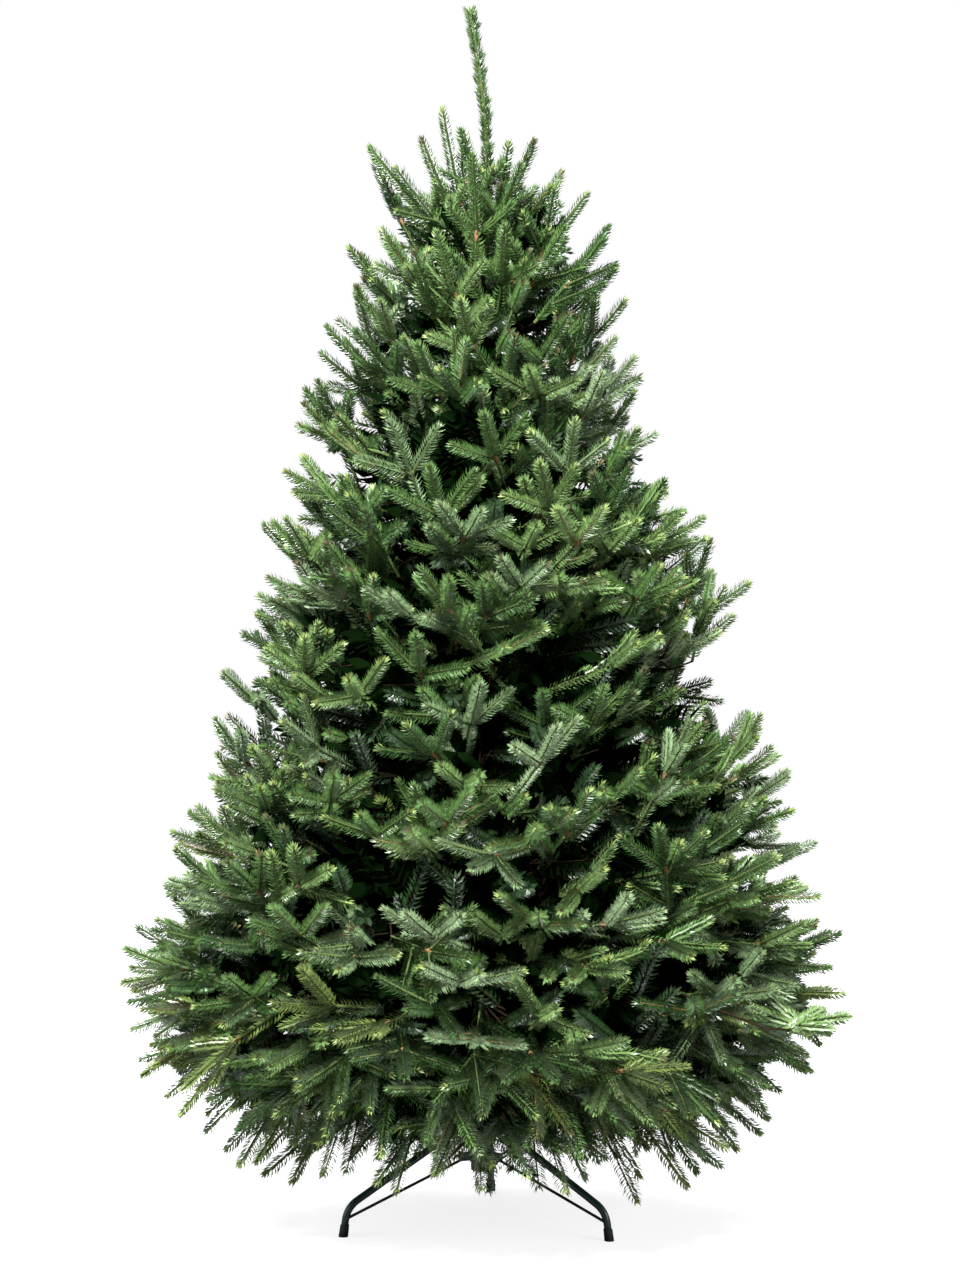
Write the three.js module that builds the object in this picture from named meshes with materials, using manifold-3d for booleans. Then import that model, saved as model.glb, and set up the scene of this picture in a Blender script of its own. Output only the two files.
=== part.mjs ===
// An artificial fir tree, 2.13 m tall, on a folding steel stand with three legs.
//
// Millimetres, +Z up. The origin is on the trunk's axis at floor level, and the
// front of the tree faces -Y. The trunk is a slim pole that runs up through the
// crown into the leader. Boughs leave it in six tiers, and each bough carries one
// mass of foliage.

import * as THREE from 'three';
import { mergeVertices } from 'three/addons/utils/BufferGeometryUtils.js';
import Module from 'manifold-3d';

const wasm = await Module();
wasm.setup();

// ---- Driving dimensions -------------------------------------------------

const CLEARANCE = 0.3; // between pieces that meet

// Trunk: a pole that tapers a little, then thins out into the leader.
const TRUNK_FOOT = 93.3;
const TRUNK_TIP = 2112;
const TRUNK_SIDES = 10;
const TRUNK_STEPS = 18;
const TRUNK_CROWDING = 1.7; // the higher, the more of its rings lie near the top
const TRUNK_RADIUS = [
  // height, radius
  [TRUNK_FOOT, 16],
  [1700, 13],
  [1780, 9],
  [1885, 5],
  [TRUNK_TIP, 1.8],
];
const LEAN_START = 1600; // the pole is straight up to here
const LEAN_TURN = 1880; // it leans to +X up to here, then back to -X
const LEAN_OUT = 10;
const LEAN_BACK = 31;
const LEAN_CURVE = 1.5; // the higher, the later it leans back

// Joint ring where the top length of pole fits.
const RING_HEIGHT = 1700;
const RING_RADIUS = 19;
const RING_DEPTH = 7;

// Leader: the single upright shoot at the top.
const LEADER_FOOT = 1886;
const LEADER_TIP = 2130;
const LEADER_RADIUS = 15.5;
const LEADER_SIDES = 8;
const LEADER_STEPS = 10;
const LEADER_TUFTS = [0.85, 1.05]; // reach of the hollows and of the tufts
const LEADER_UNEVENNESS = 0.06;

// Crown outline: the reach of the tips from the axis.
const CROWN_REACH = [
  // height, towards -X, towards +X
  [55, 40, 40],
  [95, 350, 365],
  [125, 445, 440],
  [160, 470, 488],
  [195, 500, 512],
  [250, 600, 530],
  [310, 590, 594],
  [390, 638, 614],
  [450, 632, 618],
  [490, 590, 626],
  [560, 552, 564],
  [670, 540, 580],
  [760, 512, 532],
  [800, 452, 530],
  [900, 474, 500],
  [950, 462, 392],
  [1000, 446, 420],
  [1100, 388, 424],
  [1212, 390, 432],
  [1335, 336, 330],
  [1490, 292, 278],
  [1560, 282, 262],
  [1700, 240, 240],
  [1790, 200, 192],
  [1880, 188, 112],
  [1900, 94, 84],
  [1956, 52, 24],
  [1962, 12, 12],
];

// Borders between the tiers of boughs: cones that meet the axis at a height and
// rise outwards by a slope. The lowest droop, and the highest stand steep.
const TIER_BORDERS = [
  // height on the axis, rise for each unit outwards
  [300, -0.52],
  [447, -0.25],
  [520, 0.0],
  [673, 0.25],
  [941, 0.445],
  [1305, 0.625],
  [1770, 2.9],
];

// The skirt hangs less low at the front than at the sides.
const SKIRT_LIFT = 90;
const SKIRT_LIFT_FOCUS = 6; // the higher, the narrower the lifted stretch
const FRONT_ANGLE = -Math.PI / 2;

// Tiers, from the lowest: masses round the trunk, turn of the first one in
// degrees, and how far from the axis the foliage begins.
const TIERS = [
  { name: 'skirt', masses: 5, turn: 54, inner: 150 },
  { name: 'low', masses: 4, turn: 0, inner: 148 },
  { name: 'waist', masses: 4, turn: 20, inner: 145 },
  { name: 'middle', masses: 3, turn: 30, inner: 118 },
  { name: 'upper', masses: 3, turn: 45, inner: 90 },
  { name: 'top', masses: 3, turn: 25, inner: 30 },
];
const TIER_GAP = 0.008; // share of a tier's depth left open on each side
const MASS_GAP = 1.5; // degrees left open on each side of a mass
const MASS_SECTIONS = 9; // outlines lofted round the axis
const TIP_REACH = [0.98, 1.03]; // lowest and highest share of the crown's reach
const HOLLOW_REACH = [0.84, 0.91]; // the same for the hollows between the tips
const SIDE_UNEVENNESS = 0.08; // of the points above and below the tips
const MASS_ROUNDING = 0.3; // share by which a mass draws in at its two sides
const MASS_SQUARENESS = 6; // the higher, the nearer to its sides it does so
const CORE_REACH = 0.3; // share of the reach at which a mass is thickest
const MASS_MIDDLE = 0.45; // share of the reach towards which its sides draw in

// Boughs: one tapering limb from the trunk into each mass.
const BOUGH_ROOT_RADIUS = 7;
const BOUGH_TIP_RADIUS = 3.5;
const BOUGH_SIDES = 6;
const BOUGH_STEPS = 3;
const BOUGH_SEAT = 70; // length inside its mass

// Stand: a sleeve that holds the trunk's foot, two collars, and three legs with
// a brace and a rubber cap each. Legs and braces are given by radius and height.
const SLEEVE_FOOT = 90;
const SLEEVE_TOP = 205;
const SLEEVE_RADIUS = 18;
const SLEEVE_FLOOR = 3;
const SLEEVE_CORNER = 2.5;
const ROUND_SIDES = 20;
const COLLAR_RADIUS = 24;
const COLLAR_LOW = { foot: 109, top: 125 };
const COLLAR_HIGH = { foot: 167, top: 189 };
const COLLAR_PLAY = 0.5; // between a collar and the sleeve
const LUG_THICKNESS = 2;
const LUG_REACH = 42;
const LUG_ROOT = 3; // depth of a lug inside its collar
const LUG_SHORT = 2; // how much lower a lug is than its collar
const STAND_TURN = -4; // degrees that the whole stand is turned
const LEG_ANGLES = { right: -30, left: -150, back: 90 }; // from +X
const LEG_RADIUS = 6.35;
const LEG_ROOT = [27.5, 175.8];
const LEG_CORNER = [255, 49];
const LEG_FOOT = [261.5, 4];
const LEG_BEND = 45; // radius of the bend at the corner
const LEG_SIDES = 8;
const LEG_STEPS = 18;
const BRACE_RADIUS = 2.5;
const BRACE_ROOT = [25.2, 116.8];
const BRACE_TIP = [257, 29.5];
const BRACE_SIDES = 8;
const CAP_HEIGHT = 20;
const CAP_TOP_RADIUS = 7.7;
const CAP_FOOT_RADIUS = 8.4;

// ---- Materials -----------------------------------------------------------

function paint(color, roughness, metalness = 0) {
  return () => new THREE.MeshStandardMaterial({ color, roughness, metalness });
}

const standPaint = paint(0x1c3a2e, 0.4, 0.1);
const bracePaint = paint(0x131614, 0.5, 0.1);
const rubber = paint(0x10181a, 0.85);
const bark = paint(0x5a4630, 0.9);
const twig = paint(0x7a5a36, 0.85);
const needles = paint(0x2f5a34, 0.7);

// ---- Small helpers ---------------------------------------------------------

const tree = new THREE.Group();

function addMesh(parent, name, geometry, makeMaterial) {
  const mesh = new THREE.Mesh(geometry, makeMaterial());
  mesh.name = name;
  parent.add(mesh);
  return mesh;
}

// Seeded random numbers from 0 to 1, the same on each run.
function randomSource(seed) {
  let state = seed;
  return () => {
    state = (state * 1664525 + 1013904223) % 4294967296;
    return state / 4294967296;
  };
}

// The value of one column of a table at a height, straight between its rows.
function readTable(table, height, column) {
  if (height <= table[0][0]) return table[0][column];
  for (let i = 1; i < table.length; i += 1) {
    const low = table[i - 1];
    const high = table[i];
    if (height <= high[0]) {
      const share = (height - low[0]) / (high[0] - low[0]);
      return THREE.MathUtils.lerp(low[column], high[column], share);
    }
  }
  return table[table.length - 1][column];
}

function toSolid(geometry) {
  const bare = geometry.clone();
  bare.deleteAttribute('normal');
  bare.deleteAttribute('uv');
  const merged = mergeVertices(bare, 1e-3);
  const vertProperties = merged.attributes.position.array;
  const triVerts = new Uint32Array(merged.index.array);
  return new wasm.Manifold(new wasm.Mesh({ numProp: 3, vertProperties, triVerts }));
}

function toGeometry(solid) {
  const mesh = solid.getMesh();
  const geometry = new THREE.BufferGeometry();
  geometry.setAttribute('position', new THREE.BufferAttribute(mesh.vertProperties, 3));
  geometry.setIndex(new THREE.BufferAttribute(mesh.triVerts, 1));
  return geometry;
}

// A closed skin over a row of rings with the same number of points. Each ring
// runs anticlockwise as seen from the last ring, and a flat fan closes each end.
// The quads are split one way and the other by turns, so that raised points stand
// alone as tips.
function loft(rings) {
  const count = rings[0].length;
  const positions = rings.flat().flatMap((point) => point.toArray());
  const faces = [];
  for (let i = 1; i < rings.length; i += 1) {
    for (let j = 0; j < count; j += 1) {
      const next = (j + 1) % count;
      const a = (i - 1) * count + j;
      const b = (i - 1) * count + next;
      const c = i * count + next;
      const d = i * count + j;
      if ((i + j) % 2 === 0) faces.push(a, b, c, a, c, d);
      else faces.push(a, b, d, b, c, d);
    }
  }
  const last = (rings.length - 1) * count;
  for (let j = 1; j < count - 1; j += 1) {
    faces.push(0, j + 1, j);
    faces.push(last, last + j, last + j + 1);
  }
  const geometry = new THREE.BufferGeometry();
  geometry.setAttribute('position', new THREE.Float32BufferAttribute(positions, 3));
  geometry.setIndex(faces);
  return geometry;
}

// A round limb along a curve. radiusAt gives the radius at a share of its length.
function limb(curve, radiusAt, sides, steps) {
  const start = curve.getPoint(0);
  const end = curve.getPoint(1);
  const run = new THREE.Vector3().subVectors(end, start).normalize();
  const turn = new THREE.Quaternion().setFromUnitVectors(new THREE.Vector3(0, 0, 1), run);
  const rings = [];
  for (let i = 0; i <= steps; i += 1) {
    const share = i / steps;
    const centre = curve.getPoint(share);
    const radius = radiusAt(share);
    const ring = [];
    for (let j = 0; j < sides; j += 1) {
      const angle = (2 * Math.PI * j) / sides;
      const point = new THREE.Vector3(Math.cos(angle) * radius, Math.sin(angle) * radius, 0);
      ring.push(point.applyQuaternion(turn).add(centre));
    }
    rings.push(ring);
  }
  return loft(rings);
}

// A shape turned round the vertical axis from [radius, height] pairs.
function turned(profile) {
  const points = profile.map(([radius, height]) => new THREE.Vector2(radius, height));
  return new THREE.LatheGeometry(points, ROUND_SIDES).rotateX(Math.PI / 2);
}

// A ring round the axis with a square section.
function ringShape(innerRadius, outerRadius, foot, top) {
  return turned([
    [innerRadius, foot],
    [outerRadius, foot],
    [outerRadius, top],
    [innerRadius, top],
    [innerRadius, foot],
  ]);
}

// ---- Trunk -----------------------------------------------------------------

// The axis of the trunk and leader at a height.
function trunkAxis(height) {
  const out = THREE.MathUtils.smoothstep(height, LEAN_START, LEAN_TURN);
  const back = Math.max(0, (height - LEAN_TURN) / (LEADER_TIP - LEAN_TURN));
  return new THREE.Vector3(LEAN_OUT * out - LEAN_BACK * back ** LEAN_CURVE, 0, height);
}

function levelRing(centre, radius, sides) {
  const ring = [];
  for (let j = 0; j < sides; j += 1) {
    const angle = (2 * Math.PI * j) / sides;
    const offset = new THREE.Vector3(Math.cos(angle) * radius, Math.sin(angle) * radius, 0);
    ring.push(offset.add(centre));
  }
  return ring;
}

// Rings lie closer together towards the top, where the trunk bends and thins.
function trunkShape(extra) {
  const rings = [];
  for (let i = 0; i <= TRUNK_STEPS; i += 1) {
    const share = 1 - (1 - i / TRUNK_STEPS) ** TRUNK_CROWDING;
    const height = THREE.MathUtils.lerp(TRUNK_FOOT - extra, TRUNK_TIP + extra, share);
    const radius = readTable(TRUNK_RADIUS, height, 1) + extra;
    rings.push(levelRing(trunkAxis(height), radius, TRUNK_SIDES));
  }
  return loft(rings);
}

addMesh(tree, 'trunk', trunkShape(0), bark);
// A round bore about a ten-sided trunk: the corners of both decide the gap.
const BORE_EXTRA = 0.45;
const trunkBore = toSolid(trunkShape(BORE_EXTRA));

function makeJointRing() {
  const foot = RING_HEIGHT;
  const inner = readTable(TRUNK_RADIUS, foot, 1) + BORE_EXTRA;
  const ring = ringShape(inner, RING_RADIUS, foot, foot + RING_DEPTH);
  const middle = trunkAxis(foot + RING_DEPTH / 2);
  return ring.translate(middle.x, middle.y, 0);
}

addMesh(tree, 'pole_joint_ring', makeJointRing(), standPaint);

// ---- Leader ----------------------------------------------------------------

// Share of the leader's full radius: it swells soon above its foot and runs out
// to a point.
function leaderSwell(share) {
  const foot = Math.min(1, 0.35 + 5 * share);
  const tip = Math.min(1, 0.04 + 3 * (1 - share));
  return Math.sqrt(foot * tip);
}

// A spindle of needles with a rough surface, closed round the trunk's tip.
function makeLeader() {
  const random = randomSource(11);
  const rings = [];
  for (let i = 0; i <= LEADER_STEPS; i += 1) {
    const share = i / LEADER_STEPS;
    const centre = trunkAxis(THREE.MathUtils.lerp(LEADER_FOOT, LEADER_TIP, share));
    const ring = levelRing(centre, LEADER_RADIUS * leaderSwell(share), LEADER_SIDES);
    ring.forEach((point, j) => {
      const reach = LEADER_TUFTS[(i + j) % 2] + LEADER_UNEVENNESS * random();
      point.sub(centre).multiplyScalar(reach).add(centre);
    });
    rings.push(ring);
  }
  return toGeometry(toSolid(loft(rings)).subtract(trunkBore));
}

addMesh(tree, 'leader', makeLeader(), needles);

// ---- Foliage masses and boughs -----------------------------------------------

// Reach of the crown's tips at a height, in the direction of an angle from +X.
function crownReach(height, angle) {
  const towardsPlus = (1 + Math.cos(angle)) / 2;
  const minus = readTable(CROWN_REACH, height, 1);
  const plus = readTable(CROWN_REACH, height, 2);
  return THREE.MathUtils.lerp(minus, plus, towardsPlus);
}

// How far the lowest border is lifted in the direction of an angle.
function skirtLift(tier, angle) {
  if (tier > 0) return 0;
  return SKIRT_LIFT * Math.max(0, Math.cos(angle - FRONT_ANGLE)) ** SKIRT_LIFT_FOCUS;
}

// Height inside a tier: depth runs from 0 at its lower border to 1 at its upper.
function tierHeight(tier, depth, radius, angle) {
  const [lowAxis, lowRise] = TIER_BORDERS[tier];
  const [highAxis, highRise] = TIER_BORDERS[tier + 1];
  const low = lowAxis + lowRise * radius + skirtLift(tier, angle);
  const high = highAxis + highRise * radius;
  return THREE.MathUtils.lerp(low, high, TIER_GAP + depth * (1 - 2 * TIER_GAP));
}

// Where a line at one depth of a tier leaves the crown's outline, found by halving
// the stretch in which it does.
const BEYOND_CROWN = 800;
const HALVINGS = 24;

function tierReach(tier, depth, angle) {
  let near = TIERS[tier].inner;
  let far = BEYOND_CROWN;
  for (let i = 0; i < HALVINGS; i += 1) {
    const middle = (near + far) / 2;
    if (middle < crownReach(tierHeight(tier, depth, middle, angle), angle)) near = middle;
    else far = middle;
  }
  return near;
}

// One outline of a mass in an upright plane through the axis: [reach, depth],
// down past the tips first, then in below, up the inner face and out over the top.
const MASS_OUTLINE = [
  [1, 0.97],
  [1, 0.74],
  [1, 0.5],
  [1, 0.26],
  [1, 0.03],
  [0.66, 0],
  [CORE_REACH, 0.02],
  [0, 0.2],
  [0, 0.5],
  [0, 0.8],
  [CORE_REACH, 0.98],
  [0.66, 1],
];
const TIP_ROWS = 5;

function between([low, high], share) {
  return THREE.MathUtils.lerp(low, high, share);
}

// Tips and hollows take turns along each outline and from one outline to the next.
function unevenReach(reach, row, section, random) {
  if (row < TIP_ROWS) {
    return between((section + row) % 2 === 0 ? TIP_REACH : HOLLOW_REACH, random());
  }
  return reach > 0 ? reach + SIDE_UNEVENNESS * (random() - 0.5) : 0;
}

function massOutline(tier, angle, section, shrink, random) {
  return MASS_OUTLINE.map(([reach, depth], row) => {
    const uneven = unevenReach(reach, row, section, random);
    const kept = MASS_MIDDLE + (uneven - MASS_MIDDLE) * (1 + shrink) / 2;
    const place = 0.5 + (depth - 0.5) * shrink;
    const radius = between([TIERS[tier].inner, tierReach(tier, place, angle)], kept);
    const height = tierHeight(tier, place, radius, angle);
    return new THREE.Vector3(radius * Math.cos(angle), radius * Math.sin(angle), height);
  });
}

// A mass is lofted round the axis from one side of its sector to the other, and
// rounds off at both.
function massShape(tier, middleAngle, seed) {
  const random = randomSource(seed);
  const half = Math.PI / TIERS[tier].masses - THREE.MathUtils.degToRad(MASS_GAP);
  const outlines = [];
  for (let section = 0; section < MASS_SECTIONS; section += 1) {
    const across = (2 * section) / (MASS_SECTIONS - 1) - 1;
    const shrink = 1 - MASS_ROUNDING * across ** MASS_SQUARENESS;
    const angle = middleAngle + half * across;
    outlines.push(massOutline(tier, angle, section, shrink, random));
  }
  return loft(outlines);
}

// A bough leaves the trunk, rises or droops with its tier, and ends in its mass.
function boughShape(tier, angle, extra) {
  const end = TIERS[tier].inner + BOUGH_SEAT + extra;
  const at = (radius) => new THREE.Vector3(
    radius * Math.cos(angle),
    radius * Math.sin(angle),
    tierHeight(tier, 0.5, radius, angle),
  );
  const curve = new THREE.LineCurve3(at(0), at(end));
  const taper = (share) => THREE.MathUtils.lerp(BOUGH_ROOT_RADIUS, BOUGH_TIP_RADIUS, share);
  const radiusAt = (share) => taper(share) + extra;
  return limb(curve, radiusAt, BOUGH_SIDES, BOUGH_STEPS);
}

TIERS.forEach(({ name, masses, turn }, tier) => {
  for (let i = 0; i < masses; i += 1) {
    const angle = THREE.MathUtils.degToRad(turn + (360 * i) / masses);
    const seed = 100 * (tier + 1) + i;
    const bough = toSolid(boughShape(tier, angle, 0)).subtract(trunkBore);
    const socket = toSolid(boughShape(tier, angle, CLEARANCE));
    const mass = toSolid(massShape(tier, angle, seed)).subtract(socket);
    addMesh(tree, `foliage_${name}_${i + 1}`, toGeometry(mass), needles);
    addMesh(tree, `bough_${name}_${i + 1}`, toGeometry(bough), twig);
  }
});

// ---- Stand -----------------------------------------------------------------

const stand = new THREE.Group();
stand.rotation.z = THREE.MathUtils.degToRad(STAND_TURN);
tree.add(stand);

// A cup that takes the trunk's foot, with a rounded lower edge.
function makeSleeve() {
  const bore = TRUNK_RADIUS[0][1] + BORE_EXTRA;
  return turned([
    [0, SLEEVE_FOOT],
    [SLEEVE_RADIUS - SLEEVE_CORNER, SLEEVE_FOOT],
    [SLEEVE_RADIUS, SLEEVE_FOOT + SLEEVE_CORNER],
    [SLEEVE_RADIUS, SLEEVE_TOP],
    [bore, SLEEVE_TOP],
    [bore, SLEEVE_FOOT + SLEEVE_FLOOR],
    [0, SLEEVE_FOOT + SLEEVE_FLOOR],
  ]);
}

// Points in the upright plane of one leg become points along +X.
function inLegPlane([radius, height]) {
  return new THREE.Vector3(radius, 0, height);
}

// The leg's centre line: two straight lengths with a round bend at the corner.
// extra is added at the foot.
function legPath(extra) {
  const root = inLegPlane(LEG_ROOT);
  const corner = inLegPlane(LEG_CORNER);
  const foot = inLegPlane(LEG_FOOT);
  const inbound = new THREE.Vector3().subVectors(corner, root).normalize();
  const outbound = new THREE.Vector3().subVectors(foot, corner).normalize();
  const turn = Math.acos(inbound.dot(outbound));
  const tangent = LEG_BEND * Math.tan(turn / 2);
  const bendStart = corner.clone().addScaledVector(inbound, -tangent);
  const bendEnd = corner.clone().addScaledVector(outbound, tangent);
  const path = new THREE.CurvePath();
  path.add(new THREE.LineCurve3(root, bendStart));
  path.add(new THREE.QuadraticBezierCurve3(bendStart, corner, bendEnd));
  path.add(new THREE.LineCurve3(bendEnd, foot.addScaledVector(outbound, extra)));
  return path;
}

// A tube or rod of even thickness along a path.
function rod(path, radius, sides, steps) {
  const section = new THREE.Shape();
  for (let j = 0; j < sides; j += 1) {
    const angle = (2 * Math.PI * j) / sides;
    const x = Math.cos(angle) * radius;
    const y = Math.sin(angle) * radius;
    if (j === 0) section.moveTo(x, y);
    else section.lineTo(x, y);
  }
  return new THREE.ExtrudeGeometry(section, { steps, extrudePath: path });
}

const legBore = toSolid(rod(legPath(CLEARANCE), LEG_RADIUS + CLEARANCE, LEG_SIDES, LEG_STEPS));

function makeBrace() {
  const path = new THREE.LineCurve3(inLegPlane(BRACE_ROOT), inLegPlane(BRACE_TIP));
  return toGeometry(toSolid(rod(path, BRACE_RADIUS, BRACE_SIDES, 1)).subtract(legBore));
}

// A tapered rubber cap on the leg's end, with a flat underside on the floor.
function makeCap() {
  const foot = inLegPlane(LEG_FOOT);
  const run = new THREE.Vector3().subVectors(inLegPlane(LEG_CORNER), foot).normalize();
  const floorPoint = foot.clone().addScaledVector(run, -foot.z / run.z);
  const topPoint = floorPoint.clone().addScaledVector(run, CAP_HEIGHT);
  const rings = [
    levelRing(floorPoint, CAP_FOOT_RADIUS, ROUND_SIDES),
    levelRing(topPoint, CAP_TOP_RADIUS, ROUND_SIDES),
  ];
  return toGeometry(toSolid(loft(rings)).subtract(legBore));
}

// A collar round the sleeve, with a pair of lugs for each leg or brace.
function makeCollar({ foot, top }, rodRadius) {
  let collar = toSolid(ringShape(SLEEVE_RADIUS + COLLAR_PLAY, COLLAR_RADIUS, foot, top));
  const lugStart = COLLAR_RADIUS - LUG_ROOT;
  const lugHeight = top - foot - LUG_SHORT;
  const side = rodRadius + CLEARANCE + LUG_THICKNESS / 2;
  Object.values(LEG_ANGLES).forEach((degrees) => {
    [-side, side].forEach((offset) => {
      const lug = new THREE.BoxGeometry(LUG_REACH - lugStart, LUG_THICKNESS, lugHeight);
      lug.translate((LUG_REACH + lugStart) / 2, offset, (foot + top) / 2);
      lug.rotateZ(THREE.MathUtils.degToRad(degrees));
      collar = collar.add(toSolid(lug));
    });
  });
  return toGeometry(collar);
}

addMesh(stand, 'stand_sleeve', makeSleeve(), standPaint);
addMesh(stand, 'stand_collar_low', makeCollar(COLLAR_LOW, BRACE_RADIUS), standPaint);
addMesh(stand, 'stand_collar_high', makeCollar(COLLAR_HIGH, LEG_RADIUS), standPaint);

Object.entries(LEG_ANGLES).forEach(([side, degrees]) => {
  const group = new THREE.Group();
  group.rotation.z = THREE.MathUtils.degToRad(degrees);
  stand.add(group);
  const leg = rod(legPath(0), LEG_RADIUS, LEG_SIDES, LEG_STEPS);
  addMesh(group, `stand_leg_${side}`, leg, standPaint);
  addMesh(group, `stand_brace_${side}`, makeBrace(), bracePaint);
  addMesh(group, `foot_cap_${side}`, makeCap(), rubber);
});

export default tree;
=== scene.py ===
# %% [markdown]
# This file dresses an artificial Christmas tree. The model that comes in as the frame is the tree as a
# maker plans it: a pole, six tiers of boughs, one rough solid for each mass of foliage, and a folding
# stand. Each rough mass is replaced here by limbs, twigs and needles that grow on from its bough, and the
# stand's plain parts get their finish. Lengths are in metres, and +Z is up.

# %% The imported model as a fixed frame
import math
from dataclasses import dataclass

import bmesh
import bpy
import numpy as np
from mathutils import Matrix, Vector, noise
from mathutils.bvhtree import BVHTree


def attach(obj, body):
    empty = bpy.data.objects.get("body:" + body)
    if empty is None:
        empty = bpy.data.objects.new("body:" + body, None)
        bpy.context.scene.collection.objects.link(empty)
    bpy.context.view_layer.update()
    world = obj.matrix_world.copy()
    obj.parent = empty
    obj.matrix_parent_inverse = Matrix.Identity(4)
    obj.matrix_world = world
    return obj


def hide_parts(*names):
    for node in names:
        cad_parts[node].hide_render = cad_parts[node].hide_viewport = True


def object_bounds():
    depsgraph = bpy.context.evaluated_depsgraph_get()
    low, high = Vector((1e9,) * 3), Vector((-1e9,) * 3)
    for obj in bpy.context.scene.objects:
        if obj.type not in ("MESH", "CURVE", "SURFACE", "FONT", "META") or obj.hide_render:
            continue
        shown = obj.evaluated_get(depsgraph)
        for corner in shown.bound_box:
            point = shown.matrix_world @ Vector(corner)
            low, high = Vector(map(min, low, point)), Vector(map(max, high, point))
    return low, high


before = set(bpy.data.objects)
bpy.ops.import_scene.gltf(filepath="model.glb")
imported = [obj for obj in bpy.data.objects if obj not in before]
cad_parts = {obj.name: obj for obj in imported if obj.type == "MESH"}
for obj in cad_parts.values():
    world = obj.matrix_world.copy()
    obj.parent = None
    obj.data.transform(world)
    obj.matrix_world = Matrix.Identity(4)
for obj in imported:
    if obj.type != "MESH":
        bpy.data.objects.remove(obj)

PACKED_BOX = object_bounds()
UP = np.array((0.0, 0.0, 1.0))
TREE_HEIGHT = PACKED_BOX[1][2]
print("nodes", len(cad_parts), "height", round(TREE_HEIGHT, 3))

# %% [markdown]
# The camera stands level with the middle of the tree and a good two tree heights away, which is how a
# tree is shown in a catalogue: the pole stays upright and the floor hardly shows.

# %% Camera
CAMERA_PLACE = (-0.002, -4.597, 1.019)
SENSOR_WIDTH = 36.0
LENS = 73.8


def placed(name, data):
    """An object that shows this data, linked into the scene."""
    thing = bpy.data.objects.new(name, data)
    bpy.context.scene.collection.objects.link(thing)
    return thing


camera_data = bpy.data.cameras.new("camera")
camera_data.sensor_width = SENSOR_WIDTH
camera_data.lens = LENS
camera = placed("camera", camera_data)
camera.location = CAMERA_PLACE
camera.rotation_euler = (math.pi / 2, 0, 0)
bpy.context.scene.camera = camera
print("camera", CAMERA_PLACE, "lens", LENS)

# %% [markdown]
# Growth is worked out with directions: which way a shoot runs, which side of it is its upper side, and
# how a side shoot is turned away from it. These three helpers do that, the first two also for many rows of
# vectors at once.

# %% Small vector helpers


def unit(vectors):
    """Vectors of length one, for one vector or for many rows of them."""
    return vectors / np.linalg.norm(vectors, axis=-1, keepdims=True)


def across(heading, towards):
    """The part of towards that is square to heading, as a unit vector."""
    shared = np.sum(heading * towards, axis=-1, keepdims=True)
    return unit(towards - shared * heading)


def turned(vector, axis, angle):
    """vector turned by angle about a unit axis."""
    return (vector * math.cos(angle) + np.cross(axis, vector) * math.sin(angle)
            + axis * np.dot(axis, vector) * (1 - math.cos(angle)))


print("+X after a quarter turn is", turned(np.array((1.0, 0.0, 0.0)), UP, math.pi / 2).round(3))

# %% [markdown]
# Moulded needles come in batches of slightly different greens, and a sprayed branch has lighter tips. An
# image or a pattern over the crown could give that, but it would not hold on joined needles. So each spray
# is dealt one plain green, and its tips another, and every green is a plain material.

# %% Plain materials for small things


def plain(name, colour, roughness, specular):
    """A material that is the same all over, with its values set on the shader's own sockets."""
    material = bpy.data.materials.new(name)
    material.use_nodes = True
    shader = material.node_tree.nodes["Principled BSDF"]
    shader.inputs["Base Color"].default_value = (*colour, 1.0)
    shader.inputs["Roughness"].default_value = roughness
    shader.inputs["Specular IOR Level"].default_value = specular
    return material


NEEDLE_SHADES = {
    "deep": (0.024, 0.060, 0.013),
    "mid": (0.046, 0.096, 0.023),
    "bright": (0.076, 0.134, 0.038),
    "grey": (0.094, 0.148, 0.066),
    "pale": (0.126, 0.184, 0.092),
    "fresh": (0.130, 0.184, 0.050),
    "olive": (0.068, 0.102, 0.022),
    "rust": (0.050, 0.050, 0.020),
    # painted shade: the last two greens stand in for the dark inside the crown, very dark and near-black
    "shaded": (0.008, 0.025, 0.005),
    "inner": (0.0014, 0.0046, 0.0010),
}
SHADE_NAMES = list(NEEDLE_SHADES)
NEEDLE_ROUGHNESS = 0.42
NEEDLE_SPECULAR = 0.55
needle_materials = []
for name, colour in NEEDLE_SHADES.items():
    # the near-black inmost needles get no gloss, so that their painted shade stays dark
    sheen = 0.0 if name == "inner" else NEEDLE_SPECULAR
    needle_materials.append(plain("needles_" + name, colour, NEEDLE_ROUGHNESS, sheen))

twig_green = plain("twig_green", (0.085, 0.105, 0.036), 0.6, 0.2)
twig_orange = plain("twig_orange", (0.150, 0.082, 0.034), 0.6, 0.2)
twig_brown = plain("twig_brown", (0.014, 0.010, 0.006), 0.8, 0.0)
needle_feet = plain("needle_feet", (0.052, 0.074, 0.026), 0.8, 0.0)
bud_brown = plain("bud_brown", (0.085, 0.062, 0.026), 0.5, 0.3)
TWIG_MATERIALS = [twig_green, twig_orange, twig_brown, needle_feet, bud_brown]
GREEN, ORANGE, BROWN, FEET, BUD = range(len(TWIG_MATERIALS))
print("needle shades", len(needle_materials), "wood shades", len(TWIG_MATERIALS))

# %% [markdown]
# Tens of thousands of needles can only be handled as one mesh filled from arrays. This helper takes the
# arrays and gives back an object.

# %% Meshes from arrays


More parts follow.
